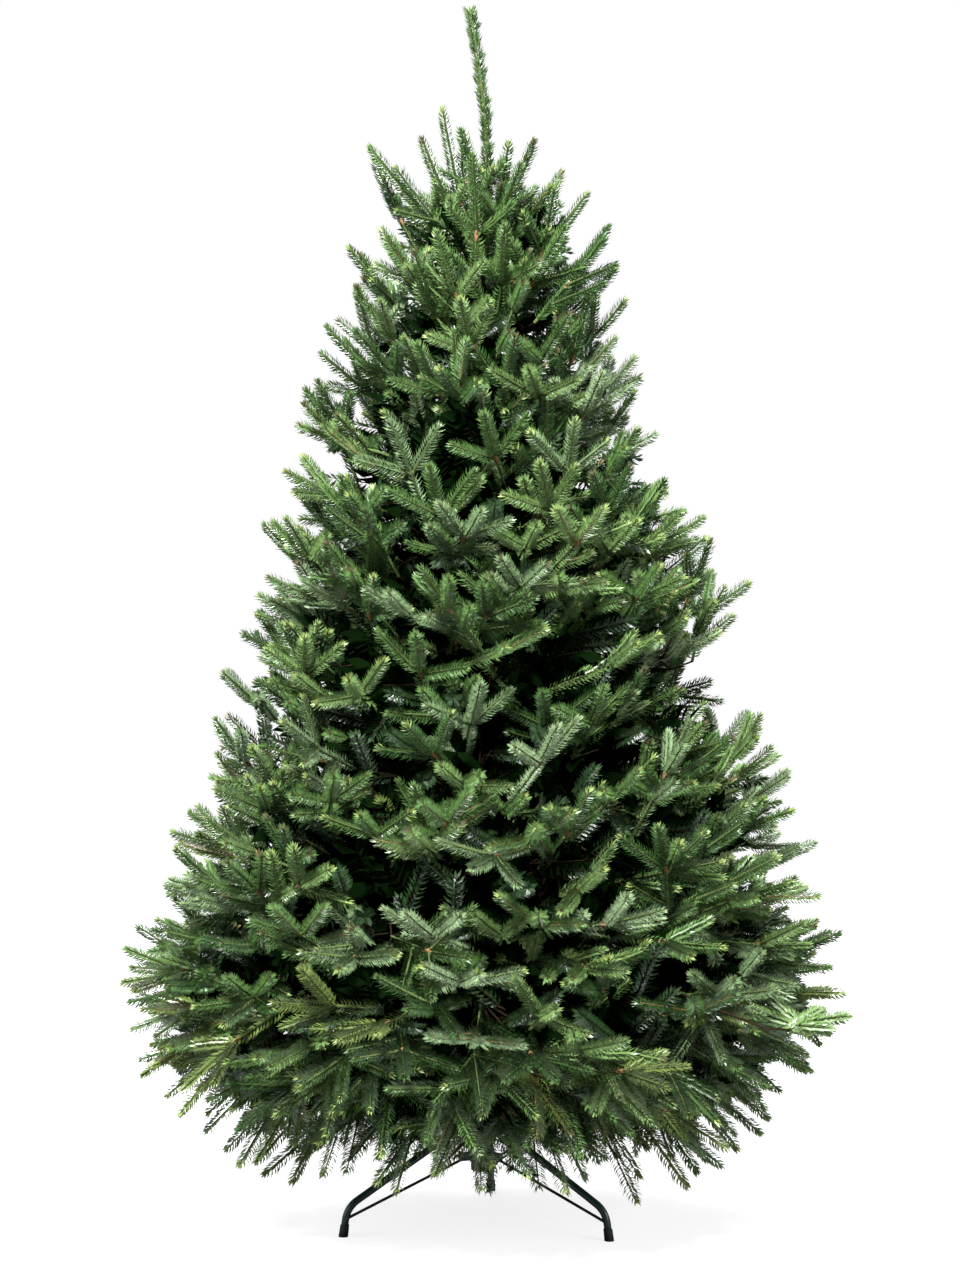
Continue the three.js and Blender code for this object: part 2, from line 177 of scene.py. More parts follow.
def mesh_object(name, vertices, faces, materials, shades=None, smooth=False):
    """An object from arrays of vertices and of faces that all have the same number of corners."""
    mesh = bpy.data.meshes.new(name)
    count, corners = faces.shape
    mesh.vertices.add(len(vertices))
    mesh.vertices.foreach_set("co", vertices.astype(np.float32).ravel())
    mesh.loops.add(faces.size)
    mesh.loops.foreach_set("vertex_index", faces.astype(np.int32).ravel())
    mesh.polygons.add(count)
    mesh.polygons.foreach_set("loop_start", np.arange(0, faces.size, corners, dtype=np.int32))
    if shades is not None:
        mesh.polygons.foreach_set("material_index", shades.astype(np.int32))
    for material in materials:
        mesh.materials.append(material)
    mesh.update(calc_edges=True)
    if smooth:
        mesh.shade_smooth()
    else:
        mesh.shade_flat()
    return placed(name, mesh)


# %% [markdown]
# A shoot is one finger of green: a thin twig with needles set along it. On most shoots they stand all round
# the twig and lean forward, a little more on the upper side, so that the shoot is a round brush. On others
# the underside is bare. A habit says how the needles stand on one kind of shoot.

# %% What a shoot is


@dataclass(frozen=True)
class Habit:
    """How the needles stand on one kind of shoot. Angles are in degrees."""
    rows: int  # of needles along the twig
    pitch: float  # from needle to needle in a row
    spread: float  # how far round from the twig's upper side the outermost rows stand
    flank_lean: float  # between needle and twig at the flanks
    top_lean: float  # the same on the upper side
    long: float
    wide: float
    turn: float = 0.0  # how far round the rows are shifted
    core: float = 0.0  # radius of the core that the crowded feet of the needles make round the twig


@dataclass
class Shoot:
    """One finger of green. heading is where it sets off to, and upper is its upper side."""
    start: np.ndarray
    heading: np.ndarray
    upper: np.ndarray
    length: float
    bend: float  # how far its tip rises to its upper side, as a share of its length
    habit: Habit
    shade: str
    tip_shade: str
    wood: int = 0


FINGER = Habit(rows=8, pitch=0.0056, spread=157.5, flank_lean=62, top_lean=58, long=0.0195, wide=0.0036,
               turn=22.5, core=0.0034)
UPRIGHT = Habit(rows=8, pitch=0.0057, spread=157.5, flank_lean=60, top_lean=58, long=0.0195, wide=0.0036,
                turn=22.5, core=0.0034)
OLD_WOOD = Habit(rows=5, pitch=0.0072, spread=144, flank_lean=64, top_lean=56, long=0.0190, wide=0.0038,
                 turn=36, core=0.0035)
PARTED = Habit(rows=7, pitch=0.0053, spread=122, flank_lean=64, top_lean=58, long=0.0205, wide=0.0034)
COMBED = Habit(rows=7, pitch=0.0056, spread=126, flank_lean=64, top_lean=56, long=0.0220, wide=0.0040,
               core=0.0022)
INNER = Habit(rows=5, pitch=0.0096, spread=144, flank_lean=62, top_lean=58, long=0.0230, wide=0.0056)
# large needles in near-black painted shade: dark sheets that fill the inmost crown
INMOST_SHADE_SHEETS = Habit(rows=3, pitch=0.0150, spread=120, flank_lean=66, top_lean=58, long=0.0600, wide=0.0190)
print("a finger has", round(FINGER.rows * 0.1 / FINGER.pitch), "needles on each ten centimetres")


def along(shoot, share):
    """Points on a shoot's twig at shares of its length, and the way the twig runs there."""
    share = np.asarray(share, float)[:, None]
    rise = shoot.bend * shoot.upper
    places = shoot.start + shoot.length * (share * shoot.heading + share**2 * rise)
    ways = unit(shoot.heading + 2 * share * rise)
    return places, ways


# %% [markdown]
# On the real thing each needle is a strip about twenty millimetres long. Two faces are enough for it: they
# meet at a knee where the needle is widest and bends forward. The needles stand in rows along the twig,
# which are all worked out at once as arrays. They are wider than life, as there are fewer of them.

# %% Needles on one shoot
BARE_FOOT = 0.06  # share of a shoot, next to the fork, that bears no needles
TUFT_FROM = 0.84  # young needles start this far along a shoot
TUFT_START = 1.3  # power by which they grow more common towards its tip
TIP_FROM = 0.88  # from here the needles close in to a blunt end
TIP_CLOSING = 0.60  # share of their lean that they lose there
ROW_SHIFT = 0.12  # of every other row, as a share of the pitch
PLACE_DRIFT = 0.05  # how unevenly needles stand: along a row, in share of the pitch
ROUND_DRIFT = 0.06  # the same round the twig, in radians
LEAN_DRIFT = 0.05  # the same in their lean
FLAT_DRIFT = 0.15  # the same in the way their flat side faces
LENGTH_RANGE = (0.93, 1.06)
WIDTH_RANGE = (0.85, 1.15)
TOP_SHORTER = 0.18  # needles on the upper side are shorter than at the flanks by this share
FOOT_LENGTH = (0.60, 0.15)  # share of their length at the shoot's foot, and where they are full-grown
TIP_SHORTER = 0.25
FACING = (0.4, 1.0, -0.5)  # the flat side faces this much upwards, outwards and onwards
KNEE = 0.56  # where a needle is widest and bends, as a share of its length
FORWARD = 0.50  # how much it bends forward there


def needles_on(shoot, rng):
    """The needles of one shoot: their feet, directions, flat sides, lengths, widths and shades."""
    habit = shoot.habit
    in_row = max(2, round(shoot.length / habit.pitch))
    row, place = np.divmod(np.arange(habit.rows * in_row), in_row)
    count = len(row)
    share = (place + ROW_SHIFT * (row % 2) + rng.normal(0.5, PLACE_DRIFT, count)) / in_row
    share = np.clip(BARE_FOOT + (1 - BARE_FOOT) * share, 0, 1)
    places, ways = along(shoot, share)
    upper = across(ways, shoot.upper)
    flank = np.cross(ways, upper)

    angle = np.radians(habit.turn + habit.spread * (2 * row / (habit.rows - 1) - 1))
    angle = angle + rng.normal(0, ROUND_DRIFT, count)
    outwards = np.cos(angle)[:, None] * upper + np.sin(angle)[:, None] * flank

    flankness = np.abs(np.sin(np.clip(angle, -np.pi / 2, np.pi / 2)))
    lean = np.radians(habit.top_lean + (habit.flank_lean - habit.top_lean) * flankness)
    near_tip = np.clip((share - TIP_FROM) / (1 - TIP_FROM), 0, 1)
    lean = lean * (1 - TIP_CLOSING * near_tip) + rng.normal(0, LEAN_DRIFT, count)
    directions = np.cos(lean)[:, None] * ways + np.sin(lean)[:, None] * outwards

    faces = across(directions, FACING[0] * upper + FACING[1] * outwards + FACING[2] * ways)
    faces = faces + rng.normal(0, FLAT_DRIFT, faces.shape)
    sides = unit(np.cross(directions, faces))

    foot_length, grown = FOOT_LENGTH
    length = habit.long * (1 - TOP_SHORTER * (1 - flankness)) * rng.uniform(*LENGTH_RANGE, count)
    length = length * (foot_length + (1 - foot_length) * np.clip(share / grown, 0, 1))
    length = length * (1 - TIP_SHORTER * near_tip)
    width = habit.wide * rng.uniform(*WIDTH_RANGE, count)
    youth = np.clip((share - TUFT_FROM) / (1 - TUFT_FROM), 0, 1)
    young = rng.uniform(0, 1, count) < youth**TUFT_START
    shades = np.where(young, SHADE_NAMES.index(shoot.tip_shade), SHADE_NAMES.index(shoot.shade))
    onwards = unit(directions + FORWARD * ways)
    return places, directions, onwards, sides, length, width, shades


def needle_mesh(name, shoots, rng):
    """One joined piece with the needles of all these shoots, each needle two faces that meet at its knee."""
    made = [needles_on(shoot, rng) for shoot in shoots]
    feet, directions, onwards, sides, length, width, shades = (np.concatenate(part) for part in zip(*made))
    knees = feet + directions * (length * KNEE)[:, None]
    half = sides * (width / 2)[:, None]
    tips = knees + onwards * (length * (1 - KNEE))[:, None]
    vertices = np.stack([feet, knees + half, tips, knees - half], 1).reshape(-1, 3)
    first = np.arange(len(feet))[:, None] * 4
    faces = np.stack([first + (0, 1, 3), first + (1, 2, 3)], 1).reshape(-1, 3)
    return mesh_object(name, vertices, faces, needle_materials, np.repeat(shades, 2))


# %% [markdown]
# Twigs and limbs are wire wound with green or brown strip, so they are thin round tubes. Curves with a
# bevel would do, but thousands of curve objects are slow; tubes built from rings of points join into one
# mesh at once.

# %% Tubes for twigs and limbs
CAP_HOLE = 0.03  # a flat end is one ring drawn in to this share of the radius


def ring_quads(rings, sides):
    """The quads between rings of points that follow each other."""
    first = np.arange(rings - 1)[:, None] * sides
    side = np.arange(sides)[None, :]
    after = (side + 1) % sides
    quads = np.stack([first + side, first + after, first + sides + after, first + sides + side], -1)
    return quads.reshape(-1, 4)


class Tubes:
    """Gathers tapering tubes, and joins them into one piece."""

    def __init__(self):
        self.vertices, self.faces, self.shades, self.count = [], [], [], 0

    def add(self, places, upper, radii, sides, shade, capped=False):
        """A tube through places, with a radius for each, and with flat ends if it is capped."""
        places = np.asarray(places, float)
        radii = np.asarray(radii, float)
        ways = unit(np.gradient(places, axis=0))
        if capped:
            places, ways = (np.concatenate([rows[:1], rows, rows[-1:]]) for rows in (places, ways))
            radii = np.concatenate([radii[:1] * CAP_HOLE, radii, radii[-1:] * CAP_HOLE])
        upper = across(ways, upper)
        flank = np.cross(ways, upper)
        turn = np.arange(sides) * 2 * np.pi / sides
        ring = np.cos(turn)[None, :, None] * upper[:, None] + np.sin(turn)[None, :, None] * flank[:, None]
        vertices = places[:, None] + radii[:, None, None] * ring
        quads = ring_quads(len(places), sides)
        self.vertices.append(vertices.reshape(-1, 3))
        self.faces.append(quads + self.count)
        self.shades.append(np.full(len(quads), shade))
        self.count += len(vertices) * sides

    def piece(self, name, materials):
        """The joined piece."""
        return mesh_object(name, np.concatenate(self.vertices), np.concatenate(self.faces), materials,
                           np.concatenate(self.shades), smooth=True)


# %% [markdown]
# How the shoots grow changes with height. Round the leader they are long and almost upright, half way up
# they rise at about forty degrees in tridents, low down they lie level, and the skirt hangs.

# %% Growth by height
GROWTH = np.array((  # height, rise in degrees, length of the middle finger, laterals as a share of it
    (0.10, -48, 0.140, 0.72),
    (0.25, -28, 0.132, 0.80),
    (0.40, -4, 0.110, 0.92),
    (0.56, 10, 0.104, 0.94),
    (0.74, 28, 0.102, 0.94),
    (1.00, 36, 0.102, 0.92),
    (1.26, 39, 0.104, 0.88),
    (1.53, 43, 0.110, 0.80),
    (1.75, 52, 0.125, 0.66),
    (1.92, 66, 0.140, 0.50),
))


def growth_at(height):
    """How steeply shoots rise at a height, in radians, how long they are, and their laterals' share."""
    rise, finger, lateral = (np.interp(height, GROWTH[:, 0], GROWTH[:, i]) for i in (1, 2, 3))
    return math.radians(rise), finger, lateral


print("one metre up shoots rise by", round(math.degrees(growth_at(1.0)[0])), "degrees")

# %% [markdown]
# Each mass is replaced by sprays. A spray is what grows in a year or two from one bud: a stretch of older
# wood with needles, a fork, and a trident of young shoots. The tips of the mass, which are the points
# that stand furthest out of it, say where the sprays end.

# %% Where a mass has its tips
masses = sorted(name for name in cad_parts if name.startswith("foliage_"))
SPRAY_SPACING = 0.092
TIER_SPACING = {"top": 0.066, "upper": 0.086, "skirt": 0.080}
SAME_HEIGHT = 0.045  # points this near in height are compared
OUTER_SHARE = {"skirt": 0.42}  # of the reach at its height: a point further in is no tip
USUAL_OUTER_SHARE = 0.72
HEM_HEIGHT = 0.165  # the lowest tips of the skirt are chosen before its others
WIDEST = 0.615  # no tip is further from the axis than this, so that no spray stands out alone
END_FACE = 0.002  # points this near to the end of a bough belong to its end face
DIGITS = 5  # points that agree to this many digits are one


def corner_points(node):
    """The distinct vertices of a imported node."""
    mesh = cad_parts[node].data
    flat = np.empty(len(mesh.vertices) * 3, np.float32)
    mesh.vertices.foreach_get("co", flat)
    return np.unique(flat.reshape(-1, 3).astype(float).round(DIGITS), axis=0)


def tips_of(mass, spacing, outer_share, first):
    """Points on the outside of a mass, those given first and then furthest out first, none nearer to
    another than the spacing."""
    points = corner_points(mass)
    out = np.hypot(points[:, 0], points[:, 1])
    reach = np.array([out[np.abs(points[:, 2] - z) < SAME_HEIGHT].max() for z in points[:, 2]])
    share = out / reach
    chosen = list(first)
    for i in np.argsort(-share - (points[:, 2] < HEM_HEIGHT), kind="stable"):
        apart = [np.linalg.norm(points[i] - other) for other in chosen]
        if share[i] > outer_share and min(apart, default=1.0) > spacing:
            drawn_in = min(1.0, WIDEST / out[i])
            chosen.append(points[i] * (drawn_in, drawn_in, 1.0))
    return chosen


def bough_ends(node):
    """The middle of a bough's foot and of its far end."""
    points = corner_points(node)
    middle = points.mean(0)
    axis = np.linalg.svd(points - middle)[2][0]
    axis = axis * np.sign(axis[:2] @ middle[:2])
    place = (points - middle) @ axis
    foot = points[place < place.min() + END_FACE].mean(0)
    end = points[place > place.max() - END_FACE].mean(0)
    return foot, end


print("masses", len(masses))

# %% [markdown]
# Near the leader the shoots are long, and many stand apart against the sky, so they give the tree its
# outline there. They are set one by one, by the side of the tree they are on, how far from its axis they
# end, how high, and how long they are. So are the sprigs of the hem that droop in front of the stand.

# %% The shoots of the crest
CREST = (  # degrees from +X, distance from the axis, height, length
    (197, 0.207, 1.878, 0.190),
    (226, 0.150, 1.884, 0.150),
    (206, 0.076, 1.950, 0.170),
    (118, 0.070, 1.900, 0.130),
    (303, 0.090, 1.884, 0.140),
    (334, 0.106, 1.893, 0.150),
    (22, 0.158, 1.856, 0.150),
    (350, 0.192, 1.802, 0.150),
    (8, 0.232, 1.755, 0.160),
    (354, 0.242, 1.672, 0.160),
    (176, 0.238, 1.716, 0.160),
    (188, 0.276, 1.570, 0.170),
    (70, 0.170, 1.850, 0.150),
    (145, 0.180, 1.840, 0.150),
    (95, 0.215, 1.760, 0.150),
    (30, 0.262, 1.550, 0.120),
    (62, 0.255, 1.525, 0.120),
    (96, 0.262, 1.560, 0.120),
    (130, 0.255, 1.530, 0.120),
    (161, 0.262, 1.560, 0.120),
    (214, 0.262, 1.550, 0.120),
    (244, 0.250, 1.520, 0.120),
    (262, 0.262, 1.590, 0.120),
    (283, 0.255, 1.530, 0.120),
    (305, 0.262, 1.570, 0.120),
    (333, 0.262, 1.540, 0.120),
)
HEM = (  # the same for the sprigs that droop in front of the stand
    (272, 0.350, 0.120, 0.130),
    (286, 0.345, 0.122, 0.120),
    (306, 0.434, 0.104, 0.170),
    (319, 0.453, 0.118, 0.180),
    (238, 0.414, 0.152, 0.150),
    (249, 0.377, 0.170, 0.120),
    (260, 0.355, 0.160, 0.110),
    (278, 0.330, 0.150, 0.110),
    (296, 0.390, 0.142, 0.130),
    (219, 0.480, 0.159, 0.140),
    (252, 0.300, 0.176, 0.105),
    (262, 0.290, 0.164, 0.105),
    (272, 0.280, 0.170, 0.105),
    (282, 0.290, 0.162, 0.105),
    (293, 0.310, 0.172, 0.110),
    (303, 0.360, 0.160, 0.120),
    (244, 0.340, 0.178, 0.110),
    (267, 0.370, 0.200, 0.105),
    (288, 0.400, 0.196, 0.105),
    (258, 0.420, 0.212, 0.105),
    (276, 0.430, 0.222, 0.105),
)
CREST_RISE = ((0.07, 0.11, 0.16, 0.24, 0.28), (80, 63, 50, 45, 37))  # degrees, by distance from the axis


def set_tips(table, mass, tier):
    """The tips in a table that belong to a mass, and a length for each."""
    directions = {}
    for other in masses:
        if tier in other:
            foot, end = bough_ends("bough_" + other.removeprefix("foliage_"))
            directions[other] = math.atan2(end[1] - foot[1], end[0] - foot[0])
    found = []
    for degrees, out, height, length in table:
        angle = math.radians(degrees)
        nearest = max(directions, key=lambda other: math.cos(angle - directions[other]))
        if nearest == mass:
            found.append((np.array((out * math.cos(angle), out * math.sin(angle), height)), length))
    return found


print("set one by one", len(CREST), "crest shoots and", len(HEM), "hem sprigs")

# %% [markdown]
# Each spray is dealt its green before it grows. Near the top the greens are darker and many tips are rusty,
# in the middle many tips are fresh, and the hem has more olive.

# %% The green of a spray
SPRAY_SHADES = ["deep", "mid", "bright", "grey", "pale", "olive"]
SHADE_CHANCES = (  # lowest height; chances of the spray's shades; chances of fresh and of rust tips
    (1.50, (0.36, 0.30, 0.18, 0.12, 0.03, 0.01), (0.24, 0.34)),
    (0.42, (0.20, 0.27, 0.25, 0.19, 0.07, 0.02), (0.46, 0.08)),
    (0.00, (0.18, 0.24, 0.20, 0.06, 0.03, 0.29), (0.40, 0.12)),
)


def shade_for(rng, height):
    """A shade for a whole spray and one for its tips, dealt out by height."""
    _, chances, (fresh, rust) = next(row for row in SHADE_CHANCES if height >= row[0])
    shade = rng.choice(SPRAY_SHADES, p=chances)
    tip = rng.choice(["fresh", "rust", shade], p=(fresh, rust, 1 - fresh - rust))
    return shade, tip


print("greens dealt out at", [row[0] for row in SHADE_CHANCES], "m and up")

# %% [markdown]
# How the needles stand depends on where the spray is. Most sprays have them all round, and their feet crowd
# the twig. Those of the hem bear none on the underside. Neither do some of the others, and on these no feet
# crowd the twig, so that its orange wood shows.

# %% How a spray's needles stand
PARTED_SHARE = 0.16  # chance that a spray's orange twigs show
PARTED_FROM = 0.40  # they are half as common below this height
COMBED_BELOW = 0.21
UPRIGHT_FROM = math.radians(47)  # on sprays that rise by more they never do


def habit_for(rng, rise, height):
    """How the needles stand on a spray's fingers."""
    if rise > UPRIGHT_FROM:
        return UPRIGHT
    if height < COMBED_BELOW:
        return COMBED
    parted = PARTED_SHARE if height > PARTED_FROM else 0.5 * PARTED_SHARE
    return PARTED if rng.random() < parted else FINGER


# %% [markdown]
# A spray is built from its tip inwards: the middle shoot ends at the tip, two laterals leave the fork at
# about half a right angle, and the stem behind the fork bears older needles and often a side shoot or
# two. The rise of its shoots follows the table above, loosened by a random turn, so that no two sprays
# are alike.

# %% One spray
LOOSENESS = ((0.20, 0.34), (0.55, 1.0))  # heights, and how freely sprays turn there
CREST_LOOSENESS = 0.2
CREST_FROM = 1.5  # a shoot of a set length above this height belongs to the crest
RISE_DRIFT, AWAY_DRIFT, ROLL_DRIFT, STEM_DRIFT = 12, 24, 22, 8  # degrees
DROOP_BELOW = 0.36  # shoots bend up above this height and down below it
BEND = 0.06
FINGER_RANGE = (0.88, 1.12)
FORK_ANGLE = (40, 56)
LATERAL_LIFT = (-0.05, 0.18)  # how far laterals leave the plane of the fork
LATERAL_RANGE = (0.85, 1.10)
STEM_LENGTH = (0.095, 0.130)
STEM_FALL = (-0.05, 0.12)  # how much steeper the stem is than its middle shoot
ORANGE_WOOD = 0.45  # chance that the stem's wood is orange
SIDE_SHOOTS = 0.52  # chance that the stem bears one on each side
SIDE_PLACE = (0.30, 0.60)
SIDE_ANGLE = (46, 60)
SIDE_RANGE = (0.60, 0.85)
TUFT_END = 0.012  # needles reach this far past the end of their twig


def finger_to(tip, heading, upper, length, bend, habit, shades, wood):
    """A shoot whose needles end at tip."""
    reach = length * (heading + bend * upper)
    start = tip - reach
    shorter = length * (1 - TUFT_END / np.linalg.norm(reach))
    return Shoot(start, heading, upper, shorter, bend, habit, *shades, wood)


def spray(rng, tip, long=None):
    """The shoots of one spray that ends at tip, and where its wood joins the limb. long is the length of
    its middle shoot, where that is given."""
    away = unit(np.array((tip[0], tip[1], 0.0)))
    height = tip[2]
    rise, finger, share = growth_at(height)
    loose = np.interp(height, *LOOSENESS)
    if long and height > CREST_FROM:
        rise = math.radians(np.interp(math.hypot(*tip[:2]), *CREST_RISE))
        loose = CREST_LOOSENESS
    rise += loose * math.radians(rng.normal(0, RISE_DRIFT))
    away = turned(away, UP, loose * math.radians(rng.normal(0, AWAY_DRIFT)))
    heading = unit(away * math.cos(rise) + UP * math.sin(rise))
    upper = turned(across(heading, UP), heading, math.radians(rng.normal(0, ROLL_DRIFT)))
    shades = shade_for(rng, height)
    habit = habit_for(rng, rise, height)
    wood = ORANGE if habit is PARTED else GREEN
    bend = BEND if height > DROOP_BELOW else -BEND

    size = long or finger * rng.uniform(*FINGER_RANGE)
    middle = finger_to(tip, heading, upper, size, bend, habit, shades, wood)
    fork = middle.start
    shoots = [middle]
    for side in (-1, 1):
        way = turned(heading, upper, side * math.radians(rng.uniform(*FORK_ANGLE)))
        way = unit(way + upper * rng.uniform(*LATERAL_LIFT))
        lateral = finger * share * rng.uniform(*LATERAL_RANGE)
        shoots.append(Shoot(fork, way, across(way, upper), lateral, bend, habit, *shades, wood))

    stem_way = turned(heading, upper, math.radians(rng.normal(0, STEM_DRIFT)))
    stem_way = unit(stem_way - upper * rng.uniform(*STEM_FALL))
    stem = rng.uniform(*STEM_LENGTH)
    root = fork - stem_way * stem
    stem_wood = ORANGE if rng.random() < ORANGE_WOOD else GREEN
    shoots.append(Shoot(root, stem_way, across(stem_way, upper), stem, 0.0, OLD_WOOD, shades[0], shades[0],
                        stem_wood))
    for side in (-1, 1):
        if rng.random() < SIDE_SHOOTS:
            place = root + stem_way * stem * rng.uniform(*SIDE_PLACE)
            way = turned(stem_way, upper, side * math.radians(rng.uniform(*SIDE_ANGLE)))
            length = finger * rng.uniform(*SIDE_RANGE)
            shoots.append(Shoot(place, way, across(way, upper), length, bend, habit, *shades, wood))
    return shoots, root, stem_way


sample_shoots, _, _ = spray(np.random.default_rng(0), np.array((0.45, 0.0, 0.80)))
print("a sample spray has", len(sample_shoots), "shoots")

# %% [markdown]
# Behind each spray a thin limb leads back to the bough. It leaves the bough nearly along it and bends
# into the spray's own direction, which is a cubic curve.

# %% A limb from the bough to a spray
LIMB_SIDES = 4
LIMB_STEPS = 6
LIMB_BACK = 0.9  # a limb leaves its bough this share of its distance from it further back
LIMB_LEAST = 0.3  # but no nearer to the pole than this share of the bough
LIMB_PULL = 0.35  # share of its length over which a limb keeps its direction at either end


def bezier(a, b, c, d, steps):
    """Points on a cubic curve from a to d."""
    t = np.linspace(0, 1, steps)[:, None]
    return (1 - t)**3 * a + 3 * (1 - t)**2 * t * b + 3 * (1 - t) * t**2 * c + t**3 * d


def limb_to(root, way, foot, end, outer):
    """The curve of a limb that leaves the bough's line and arrives at root along way."""
    axis = unit(end - foot)
    place = (root - foot) @ axis
    off = np.linalg.norm(root - foot - axis * place)
    start = foot + axis * np.clip(place - LIMB_BACK * off, LIMB_LEAST * np.linalg.norm(end - foot), outer)
    pull = np.linalg.norm(root - start) * LIMB_PULL
    return bezier(start, start + axis * pull, root - way * pull, root, LIMB_STEPS)


# %% [markdown]
# Each shoot has a twig, most twigs end in a bud, and where a spray forks there is a bare, brownish knot.
# This wood is gathered in two sets of tubes while the masses grow, twigs in one and the limbs behind them
# in the other.

# %% The wood of the sprays
twigs = Tubes()
limbs = Tubes()
TWIG_RADIUS = 0.0014
TWIG_SIDES = 3
TWIG_THINNING = 0.5  # its tip's share of its foot's radius
BUD_RADIUS = 0.0024
BUD_LENGTH = 0.008
BUD_THINNING = 0.3
KNOT_RADII = (0.00276, 0.0046, 0.00276)
KNOT_SIDES = 5
KNOT_REACH = 0.010
KNOT_SHARE = 0.6  # of the forks


def add_knot(fork, way, onwards):
    """The bare, brownish knot where a spray forks."""
    places = np.stack([fork - KNOT_REACH * way, fork, fork + KNOT_REACH * onwards])
    twigs.add(places, UP, KNOT_RADII, KNOT_SIDES, ORANGE)


def add_twigs(shoots):
    """The wood of these shoots."""
    for shoot in shoots:
        places, _ = along(shoot, (0, 1))
        core = shoot.habit.core
        radius, wood = (core, FEET) if core else (TWIG_RADIUS, shoot.wood)
        twigs.add(places, shoot.upper, (radius, TWIG_THINNING * radius), TWIG_SIDES, wood)
        if shoot.habit in (FINGER, UPRIGHT, COMBED):
            bud = places[-1] + BUD_LENGTH * shoot.heading
            radii = (BUD_RADIUS, BUD_THINNING * BUD_RADIUS)
            twigs.add(np.stack([places[-1], bud]), shoot.upper, radii, TWIG_SIDES, BUD)


print("a twig is", 2000 * TWIG_RADIUS, "mm thick and a knot", 2000 * max(KNOT_RADII), "mm")

# %% [markdown]
# Now each mass is grown. Its tips are chosen, a spray is put at each, a limb joins the spray to the bough,
# and all its needles become one piece that replaces the rough mass.

# %% Growing every mass
SET_TIPS = {"top": CREST, "skirt": HEM}
SEED = 20261123
MAIN_LIMB_RADII = (0.006, 0.0025)
MAIN_LIMB_SIDES = 6
LIMB_RADII = (0.0028, 0.0017)
LIMB_END = 0.22  # the main limb of a mass ends this far short of its furthest tip
LIMB_SHORTEST = 0.05
counts = {}
limb_points = []
rng = np.random.default_rng(SEED)

for mass in masses:
    name = mass.removeprefix("foliage_")
    tier = name.split("_")[0]
    foot, end = bough_ends("bough_" + name)
    crest = set_tips(SET_TIPS[tier], mass, tier) if tier in SET_TIPS else []
    tips = tips_of(mass, TIER_SPACING.get(tier, SPRAY_SPACING), OUTER_SHARE.get(tier, USUAL_OUTER_SHARE),
                   [tip for tip, _ in crest])
    lengths = [length for _, length in crest] + [None] * (len(tips) - len(crest))
    furthest = max((np.array(tips) - foot) @ unit(end - foot))
    outer = max(LIMB_SHORTEST, furthest - LIMB_END)
    main_limb = np.linspace(foot, foot + unit(end - foot) * outer, LIMB_STEPS)
    limbs.add(main_limb, UP, np.linspace(*MAIN_LIMB_RADII, LIMB_STEPS), MAIN_LIMB_SIDES, BROWN)
    shoots = []
    for tip, long in zip(tips, lengths):
        fingers, root, way = spray(rng, tip, long)
        shoots += fingers
        path = limb_to(root, way, foot, end, outer)
        limbs.add(path, UP, np.linspace(*LIMB_RADII, LIMB_STEPS), LIMB_SIDES, BROWN)
        limb_points.append(path)
        if rng.random() < KNOT_SHARE:
            add_knot(fingers[0].start, way, fingers[0].heading)
    add_twigs(shoots)
    piece = needle_mesh("needles_" + name, shoots, rng)
    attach(piece, "root")
    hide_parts(mass)
    counts[name] = (len(tips), len(shoots), len(piece.data.polygons))
sprays, shoots_made, faces_made = zip(*counts.values())
print("sprays", sum(sprays), "shoots", sum(shoots_made), "needle faces", sum(faces_made), "largest",
      max(faces_made))

# %% [markdown]
# The shaded shoots inside the crown have to stay clear of its outline, at any height and on any side. The
# rough masses together give that outline: a ray is cast at them from outside, level and towards the axis,
# and the outline is where it hits.

# %% How far the crown reaches
CAST_FROM = 2.0


def crown_surface():
    """All the masses as one surface that rays can be cast at."""
    vertices, polygons = [], []
    for mass in masses:
        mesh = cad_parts[mass].data
        polygons += [[len(vertices) + corner for corner in face.vertices] for face in mesh.polygons]
        vertices += [vertex.co.copy() for vertex in mesh.vertices]
    return BVHTree.FromPolygons(vertices, polygons)


crown = crown_surface()


def reach_at(place):
    """How far from the axis the crown reaches at the height and on the side of a place."""
    away = unit(np.array((place[0], place[1], 0.0)))
    start = Vector((*(CAST_FROM * away[:2]), place[2]))
    hit = crown.ray_cast(start, Vector(-away))[0]
    return 0.0 if hit is None else math.hypot(hit.x, hit.y)


print("one metre up the crown reaches", round(reach_at((0.0, -1.0, 1.0)), 3), "to the front")

# %% [markdown]
# Behind the sprays a real crown is dark: shaded shoots fill it as far as the pole, and hardly any sky shows
# through. Their needles are painted shade, very dark green, and near-black on the inmost. They are spread
# evenly, on a loosened grid of places well inside the outline. The inmost have the largest needles, dark
# sheets of painted shade, as nothing of them is seen but the dark.

# %% The shaded heart of the crown
HEART_SPACING = 0.071
# heights, and how far the heart stays inside the outline there
HEART_DEPTH = ((1.45, 1.60, 1.75), (0.078, 0.090, 0.115))
INMOST_DEPTH = 0.06  # this much further in the needles are the largest
HEART_HEIGHTS = (0.28, 1.72)
HEART_HALF = 0.6  # how far from the axis places are tried
HEART_JITTER = 0.4  # how far a place moves, as a share of the spacing
HEART_LENGTH = (0.10, 0.14)
HEART_RISE = 0.3
HEART_DRIFT = 0.45
POLE_SHOOTS = 60  # more of the largest needles, close round the pole
POLE_SHOOT_OUT = (0.03, 0.09)


def heart_places(rng):
    """Places all through the crown, well inside its outline, each with how much further in it is than it
    must be."""
    steps = np.arange(-HEART_HALF, HEART_HALF, HEART_SPACING)
    grid = np.stack(np.meshgrid(steps, steps, np.arange(*HEART_HEIGHTS, HEART_SPACING)), -1).reshape(-1, 3)
    grid = grid + rng.uniform(-HEART_JITTER, HEART_JITTER, grid.shape) * HEART_SPACING
    depth = np.interp(grid[:, 2], *HEART_DEPTH)
    reach = np.array([reach_at(place) for place in grid])
    spare = reach - depth - np.hypot(grid[:, 0], grid[:, 1])
    return [(place, more) for place, more in zip(grid, spare) if more > 0]


